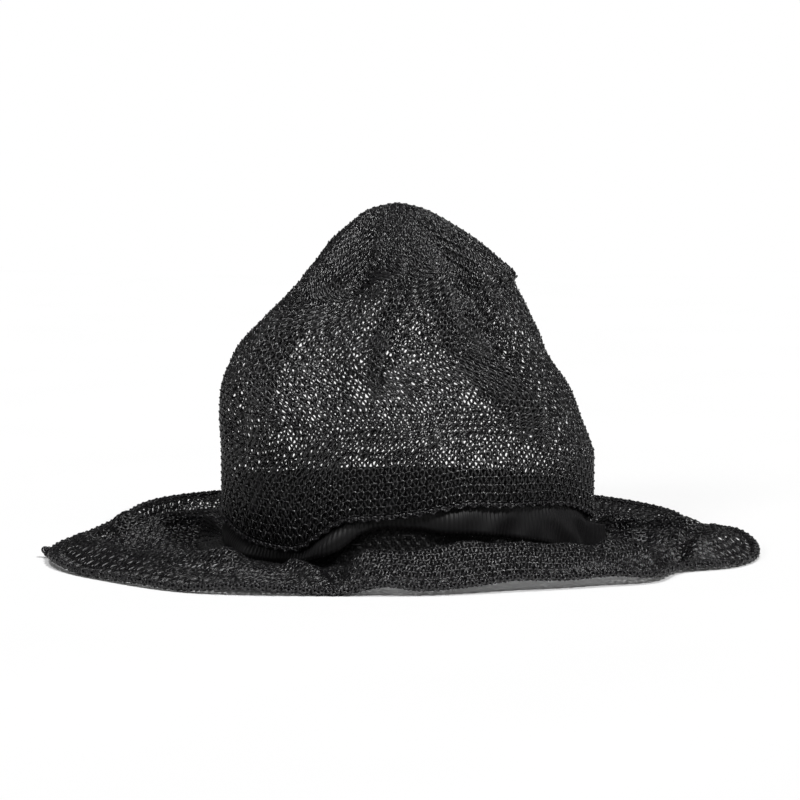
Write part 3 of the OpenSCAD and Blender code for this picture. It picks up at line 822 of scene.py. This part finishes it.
ribbon_weave = grosgrain()
print("made", ribbon_weave.name)

# %% Ribbon shape
# From rib to rib, how far a rib stands out and goes in, and points along each rib
RIB_MM, RIB_DEPTH, RIB_STEPS = 2.2, 0.25, 4
# The lap: its length, the angle where it ends, how long the start takes to climb over itself, how far
# before its end it leaves the head, how far it then stands off, and how high the cut end still is
RIBBON_LAP, LAP_STOP, LAP_CLIMB, LAP_FREE, RIBBON_FLARE, LAP_TIP_H = 46.0, 347.0, 16, 9, 10.0, 10.5
LAP_START = LAP_STOP - math.degrees(RIBBON_LAP / (HEAD_W / 2))
# The loose lower edge: how far below the hem it is free, how far it stands out on average, its waves
# (waves round the ring, phase, height), and its wrinkles (angle, width in degrees, waves round the ring,
# lean for each millimetre of height, height), which stand out more than they go in
LOOSE_BELOW, WAVE_OUT = 9, 1.3
RIBBON_WAVES = [(9, 0.6, 0.9), (15, 2.0, 0.7), (31, 0.0, 0.35)]
RIBBON_WRINKLES = [(329, 11, 26, 0.32, 1.3), (300, 10, 22, -0.25, 1.1)]
WRINKLE_OUT = 0.7
# Flares where it has slipped: angle, width in degrees, how far out
RIBBON_FLARES = [(246, 7, 4.5), (205, 18, 3.5)]


def ribbon_strip():
    """The strip's line: angle, how far its middle is off the head ring, its lower and its upper edge."""
    total = 360 + LAP_STOP - LAP_START
    columns = int(total / 360 * math.pi * HEAD_W / (RIB_MM / RIB_STEPS))
    a = np.linspace(LAP_START - 360, LAP_STOP, columns)
    climb = ease((a - LAP_START + LAP_CLIMB) / LAP_CLIMB) * (RIBBON_T + SEAT_GAP)
    off = RIBBON_T / 2 + climb + RIBBON_FLARE * ease((a - LAP_STOP + LAP_FREE) / LAP_FREE)
    low = ribbon_low(a) + round_value(RIBBON_SLIP, a)
    top = low + RIBBON_H - (RIBBON_H - LAP_TIP_H) * ease((a - LAP_START) / (LAP_STOP - LAP_START))
    return a, off, low, top


def ribbon_waves(a, z):
    """How far the loose lower edge waves in and out below the crown's hem, and the wrinkles near the lap."""
    loose = ease((hem_low(a) + HEM_D - z) / LOOSE_BELOW)
    turn = np.radians(a)
    wave = WAVE_OUT
    for waves, phase, height in RIBBON_WAVES:
        wave = wave + height * np.sin(waves * turn + phase)
    wrinkle = 0
    for at, width, waves, lean, height in RIBBON_WRINKLES:
        pucker = height * (WRINKLE_OUT + np.sin(np.radians(waves * a) + lean * z))
        wrinkle = wrinkle + pucker * np.exp(-(turn_gap(a, at) / width) ** 2)
    flare = sum(out * np.exp(-(turn_gap(a, at) / width) ** 2) for at, width, out in RIBBON_FLARES)
    return loose * (wave + wrinkle + flare)


print("ribs %.1f mm apart, lap from %.0f to %.0f degrees" % (RIB_MM, LAP_START, LAP_STOP))

# %% Ribbon
RIBBON_ROWS = 13


def make_ribbon():
    """The strip as a thin closed band: outer and inner face, both edges and both cut ends."""
    a, off, low, top = ribbon_strip()
    columns, rows = len(a), RIBBON_ROWS
    z = low[:, None] + (top - low)[:, None] * np.linspace(0, 1, rows)
    turn = a[:, None] + 0 * z
    ribs = RIB_DEPTH * np.cos(np.arange(columns) * math.tau / RIB_STEPS)[:, None]
    place = off[:, None] + ribbon_waves(turn, z) + ribs
    half = RIBBON_T / 2 - RIB_DEPTH
    points = np.concatenate([ring(turn, place + half, z), ring(turn, place - half, z)[:, ::-1]], 1)
    across = 2 * rows
    i, k = np.meshgrid(np.arange(columns - 1), np.arange(across), indexing="ij")
    i, k = i.ravel(), k.ravel()
    m = (k + 1) % across
    faces = np.stack([i * across + k, (i + 1) * across + k, (i + 1) * across + m, i * across + m], 1)
    last = (columns - 1) * across
    ends = [[q, q + 1, across - 2 - q, across - 1 - q] for q in range(rows - 1)]
    ends += [[last + across - 1 - q, last + across - 2 - q, last + q + 1, last + q] for q in range(rows - 1)]
    u0, u1, v0, v1 = i / (columns - 1), (i + 1) / (columns - 1), k / across, (k + 1) / across
    uv = np.stack([u0, v0, u1, v0, u1, v1, u0, v1], 1).reshape(-1, 4, 2)
    uv = np.concatenate([uv, np.zeros((len(ends), 4, 2))])
    faces = np.concatenate([faces, np.array(ends)])
    return make_piece("ribbon_grosgrain", points.reshape(-1, 3) * MM, faces[:, ::-1], ribbon_weave,
                      ["ribbon"], {"OFBake": uv})


ribbon = make_ribbon()

# %% [markdown]
# ## Sewing thread
# The seams are blind stitches of black polyester thread between the layers. The solids have them as
# small bars in the right places, so they stay and only get a thread's finish: plies that wind round each
# other, with a painted highlight that makes the top of each turn a little lighter. Painting them plain
# black would lose them in the shadow.

# %% Thread material
# From ply to ply, and how deep the groove between them is
PLY_MM, PLY_DEPTH_MM = 0.6, 0.05


def sewing_thread():
    """Twisted polyester sewing thread, dyed black: fairly matt, with its plies just showing and a painted
    highlight on each.
    """
    material, tree = new_material("black_sewing_thread_painted_highlight")
    spot = add_node(tree, "ShaderNodeTexCoord")
    ply_and_highlight = add_node(tree, "ShaderNodeTexWave", {"bands_direction": "DIAGONAL"},
                   {"Scale": 1 / (PLY_MM * MM) / math.tau}, {"Vector": (spot, "Object")})
    # The lighter shade on each ply's crest is a painted highlight.
    dye = add_node(tree, "ShaderNodeMix", {"data_type": "RGBA"}, {6: linear("#121213"), 7: linear("#1c1b1d")},
                   {0: (ply_and_highlight, "Fac")})
    bump = add_node(tree, "ShaderNodeBump", values={"Strength": 0.4, "Distance": PLY_DEPTH_MM * MM},
                    links={"Height": (ply_and_highlight, "Fac")})
    shade = add_node(tree, "ShaderNodeBsdfPrincipled", values={"Roughness": 0.6, "IOR": 1.5},
                     links={"Base Color": (dye, 2), "Normal": (bump, "Normal")})
    add_node(tree, "ShaderNodeOutputMaterial", links={"Surface": (shade, "BSDF")})
    return material


thread = sewing_thread()
for name in ("ribbon_tacks", "crown_stitches", "brim_stitches"):
    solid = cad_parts[name]
    solid.data.materials.clear()
    solid.data.materials.append(thread)
    print(name, "wears", thread.name)

# %% [markdown]
# ## Table, light and camera
# The hat lies on a plain white table in soft light from above and in front. The floor is a white diffuse
# sheet that keeps the shadow, and camera rays that miss it see a white room. The room itself gives the
# object only a little light, so the colours come out about as they are written.

# %% Floor
# Half its width in metres, its grain to the metre, and a glow that only the camera sees. A matt painted
# board has no gloss and hardly any grain, so it shows only the shadow.
FLOOR_HALF, FLOOR_GRAIN, FLOOR_GLOW = 3.0, 40.0, 0.02
floor_data = bpy.data.meshes.new("floor")
floor_data.from_pydata([(-FLOOR_HALF, -FLOOR_HALF, 0), (FLOOR_HALF, -FLOOR_HALF, 0),
                        (FLOOR_HALF, FLOOR_HALF, 0), (-FLOOR_HALF, FLOOR_HALF, 0)], [], [(0, 1, 2, 3)])
floor = bpy.data.objects.new("floor", floor_data)
bpy.context.scene.collection.objects.link(floor)
floor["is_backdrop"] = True
white, tree = new_material("white_table")
grain = add_node(tree, "ShaderNodeTexNoise", values={"Scale": FLOOR_GRAIN})
tint = add_node(tree, "ShaderNodeMix", {"data_type": "RGBA"}, {6: linear("#fcfcfc"), 7: linear("#ffffff")},
                {0: (grain, "Fac")})
paper = add_node(tree, "ShaderNodeBsdfDiffuse", links={"Color": (tint, 2)})
glow = add_node(tree, "ShaderNodeEmission", values={"Color": linear("#ffffff"), "Strength": FLOOR_GLOW})
ray = add_node(tree, "ShaderNodeLightPath")
black = add_node(tree, "ShaderNodeEmission", values={"Color": linear("#000000"), "Strength": 0.0})
seen = add_node(tree, "ShaderNodeMixShader", links={0: (ray, "Is Camera Ray"), 1: (black, "Emission"),
                                                    2: (glow, "Emission")})
both = add_node(tree, "ShaderNodeAddShader", links={0: (paper, "BSDF"), 1: (seen, "Shader")})
add_node(tree, "ShaderNodeOutputMaterial", links={"Surface": (both, "Shader")})
floor_data.materials.append(white)
print("floor: %.0f m wide" % (2 * FLOOR_HALF))

# %% World
# How much light the room gives the hat, and how bright the camera sees the room
ROOM_LIGHT, ROOM_SEEN = 0.05, 1.0
world = bpy.data.worlds.new("white_room")
bpy.context.scene.world = world
world.use_nodes = True
tree = world.node_tree
tree.nodes.clear()
ray = add_node(tree, "ShaderNodeLightPath")
room, back = (add_node(tree, "ShaderNodeBackground", values={"Color": linear("#ffffff"), "Strength": level})
              for level in (ROOM_LIGHT, ROOM_SEEN))
pick = add_node(tree, "ShaderNodeMixShader", links={0: (ray, "Is Camera Ray"), 1: (room, "Background"),
                                                    2: (back, "Background")})
add_node(tree, "ShaderNodeOutputWorld", links={"Surface": (pick, "Shader")})
print("room: light %.2f, seen as %.2f" % (ROOM_LIGHT, ROOM_SEEN))

# %% Lamps


def far_lamp(name, azimuth, elevation, level, spread):
    """A lamp so far away that its light is even, with its angles in degrees; level 1 lights a sheet white."""
    light = bpy.data.lights.new(name, "SUN")
    light.energy, light.angle = level * math.pi, math.radians(spread)
    lamp = bpy.data.objects.new(name, light)
    a, e = math.radians(azimuth), math.radians(elevation)
    place = Vector((math.cos(a) * math.cos(e), math.sin(a) * math.cos(e), math.sin(e)))
    lamp.rotation_euler = (-place).to_track_quat("-Z", "Y").to_euler()
    bpy.context.scene.collection.objects.link(lamp)
    print("%s: level %.2f" % (name, level))


far_lamp("front_right_softbox", azimuth=312, elevation=46, level=0.68, spread=9)
far_lamp("overhead_panel", azimuth=250, elevation=80, level=0.41, spread=20)
far_lamp("front_left_softbox", azimuth=232, elevation=30, level=0.1, spread=14)

# %% [markdown]
# The camera stands 1.3 m from the middle of the hat and 9 degrees above the table, which is where the
# outline of the crown and the brim fits the photograph. Its lens is set by the scale of 1.92 pixels for
# each millimetre at the hat. It is tilted, and not shifted, to put the foot of the hat on its pixel row.

# %% Camera
# How far away and how high up the camera stands, the scale at the hat, and the side of the picture
VIEW_M, VIEW_EL, PIXELS_MM, FRAME_PX = 1.3, 9.0, 1.92, 800
# The pixel row of the hat's foot, the middle of the view in millimetres, and the camera's own sizes
FOOT_PX, MIDDLE_X, SENSOR_MM, VIEW_END = 544, -4, 36.0, 50
target = Vector((MIDDLE_X * MM, 0, 0))
el = math.radians(VIEW_EL)
focal_px = PIXELS_MM / MM * VIEW_M
camera_data = bpy.data.cameras.new("camera")
camera_data.sensor_width = SENSOR_MM
camera_data.lens = SENSOR_MM * focal_px / FRAME_PX
camera_data.clip_end = VIEW_END
camera = bpy.data.objects.new("camera", camera_data)
camera.location = target + VIEW_M * Vector((0, -math.cos(el), math.sin(el)))
tilt = el - math.atan((FOOT_PX - FRAME_PX / 2) / focal_px)
camera.rotation_euler = (math.pi / 2 - tilt, 0, 0)
bpy.context.scene.collection.objects.link(camera)
bpy.context.scene.camera = camera
bpy.context.scene.view_settings.view_transform = "Standard"
print("camera lens %.1f mm, tilt %.2f degrees" % (camera_data.lens, math.degrees(tilt)))

# %% Sizes and finish
plain = lambda box: [[float(v) for v in corner] for corner in box]
{"cad": plain(cad_box), "visual": plain(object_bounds())}
